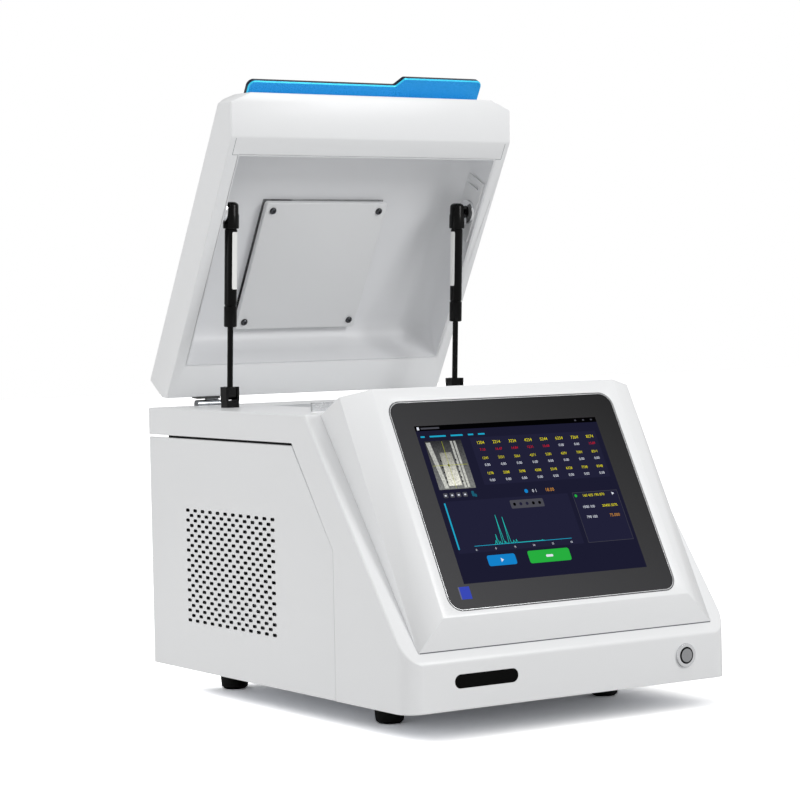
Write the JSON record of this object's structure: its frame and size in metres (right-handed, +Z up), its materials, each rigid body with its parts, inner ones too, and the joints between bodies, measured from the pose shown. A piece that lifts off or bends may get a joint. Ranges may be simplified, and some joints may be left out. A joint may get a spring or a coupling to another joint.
{
  "type": "x-ray fluorescence gold analyzer",
  "caption": "Bench-top x-ray fluorescence analyzer with a sloping touch screen, a hinged lid on gas struts and a blue grip plate",
  "frame": {"origin": "bottom centre of the whole part with its lid open, on the plane the feet stand on", "axes": "+Z up, -Y to the front (the screen side), X across the width; the lid's hinge and its mirror plane follow X"},
  "size_m": [0.37, 0.4938, 0.6164],
  "materials": {
    "white_paint": "satin",
    "grey_paint": "satin",
    "black_sheet": "satin",
    "zinc_sheet": "satin",
    "black_rubber": "matte",
    "screen_glass": "gloss",
    "bright_trim": "gloss",
    "smoked_plastic": "gloss",
    "green_board": "matte",
    "steel": "satin",
    "aluminium": "satin",
    "black_plastic": "matte",
    "white_plastic": "matte",
    "brass": "satin",
    "black_gloss": "gloss",
    "blue_anodised": "satin",
    "chrome": "gloss"
  },
  "bodies": {
    "base": {"base_shell": "white_paint", "left_panel": "white_paint", "right_panel": "white_paint", "left_frame": "black_sheet", "right_frame": "black_sheet", "rear_panel": "white_paint", "base_plate": "zinc_sheet", "rubber_feet": "black_rubber", "console_bezel": "white_paint", "touch_glass": "screen_glass", "glass_trim": "bright_trim", "lcd_module": "zinc_sheet", "indicator_lens": "smoked_plastic", "indicator_board": "green_board", "button_body": "steel", "stage_plate": "aluminium", "window_ring": "steel", "shield_sill": "steel", "interlock_switch": "black_plastic", "measuring_head": "aluminium", "xray_tube": "brass", "detector": "steel", "camera_module": "black_plastic", "collimator_motor": "zinc_sheet", "hv_generator": "zinc_sheet", "power_supply": "zinc_sheet", "main_board": "green_board", "cooling_fan": "black_plastic", "power_inlet": "black_plastic", "rocker_frame": "black_plastic", "hinge_pins": "chrome", "deck_hinge_leaves": "chrome", "strut_brackets": "black_gloss"},
    "lid": {"lid_shell": "white_paint", "lid_liner": "grey_paint", "shield_plate": "grey_paint", "shield_screws": "steel", "grip_plate": "blue_anodised", "lid_hinge_leaves": "black_sheet", "lid_brackets": "grey_paint", "strut_studs": "steel"},
    "left_rod": {"left_strut_rod": "black_gloss"},
    "right_rod": {"right_strut_rod": "black_gloss"},
    "left_tube": {"left_strut_tube": "black_gloss"},
    "right_tube": {"right_strut_tube": "black_gloss"},
    "power_button": {"button_cap": "steel"},
    "mains_rocker": {"rocker_button": "black_gloss"},
    "fan": {"fan_rotor": "black_plastic"},
    "wheel": {"collimator_wheel": "brass"},
    "lid_switch_plunger": {"interlock_plunger": "white_plastic"}
  },
  "joints": [
    {"name": "lid_hinge", "type": "hinge", "parent": "base", "child": "lid", "pos_m": [0, 0.21146, 0.286], "axis": [-1, 0, 0], "range_deg": [-61, 9]},
    {"name": "left_strut_pivot", "type": "hinge", "parent": "base", "child": "left_rod", "pos_m": [-0.137, 0.13216, 0.297], "axis": [-1, 0, 0], "range_deg": [-84.99, 12.71]},
    {"name": "left_strut_slide", "type": "slide", "parent": "left_rod", "child": "left_tube", "axis": [0, -0.0566, 0.9984], "range_m": [-0.04956, 0.00748]},
    {"name": "right_strut_pivot", "type": "hinge", "parent": "base", "child": "right_rod", "pos_m": [0.137, 0.13216, 0.297], "axis": [-1, 0, 0], "range_deg": [-84.99, 12.71]},
    {"name": "right_strut_slide", "type": "slide", "parent": "right_rod", "child": "right_tube", "axis": [0, -0.0566, 0.9984], "range_m": [-0.04956, 0.00748]},
    {"name": "power_button_press", "type": "slide", "parent": "base", "child": "power_button", "axis": [0, 1, 0], "range_m": [0, 0.0025], "stiffness_N_per_m": 500, "springref_m": -0.002},
    {"name": "mains_rocker_tilt", "type": "hinge", "parent": "base", "child": "mains_rocker", "pos_m": [-0.062, 0.17666, 0.0857], "axis": [1, 0, 0], "range_deg": [-20, 0]},
    {"name": "fan_spin", "type": "hinge", "parent": "base", "child": "fan", "pos_m": [0.1, 0.17766, 0.1457], "axis": [0, 1, 0], "continuous": true},
    {"name": "collimator_turn", "type": "hinge", "parent": "base", "child": "wheel", "pos_m": [0.02, 0.07366, 0.245], "axis": [0, 0, 1], "continuous": true},
    {"name": "lid_switch_press", "type": "slide", "parent": "base", "child": "lid_switch_plunger", "axis": [0, 0, -1], "range_m": [0, 0.0014], "stiffness_N_per_m": 300, "springref_m": -0.002}
  ],
  "couplings": [
    {"joint": "left_strut_pivot", "follows": "lid_hinge", "ratio": 1.39},
    {"joint": "left_strut_slide", "follows": "lid_hinge", "m_per_rad": 0.046362},
    {"joint": "right_strut_pivot", "follows": "lid_hinge", "ratio": 1.39},
    {"joint": "right_strut_slide", "follows": "lid_hinge", "m_per_rad": 0.046362}
  ]
}
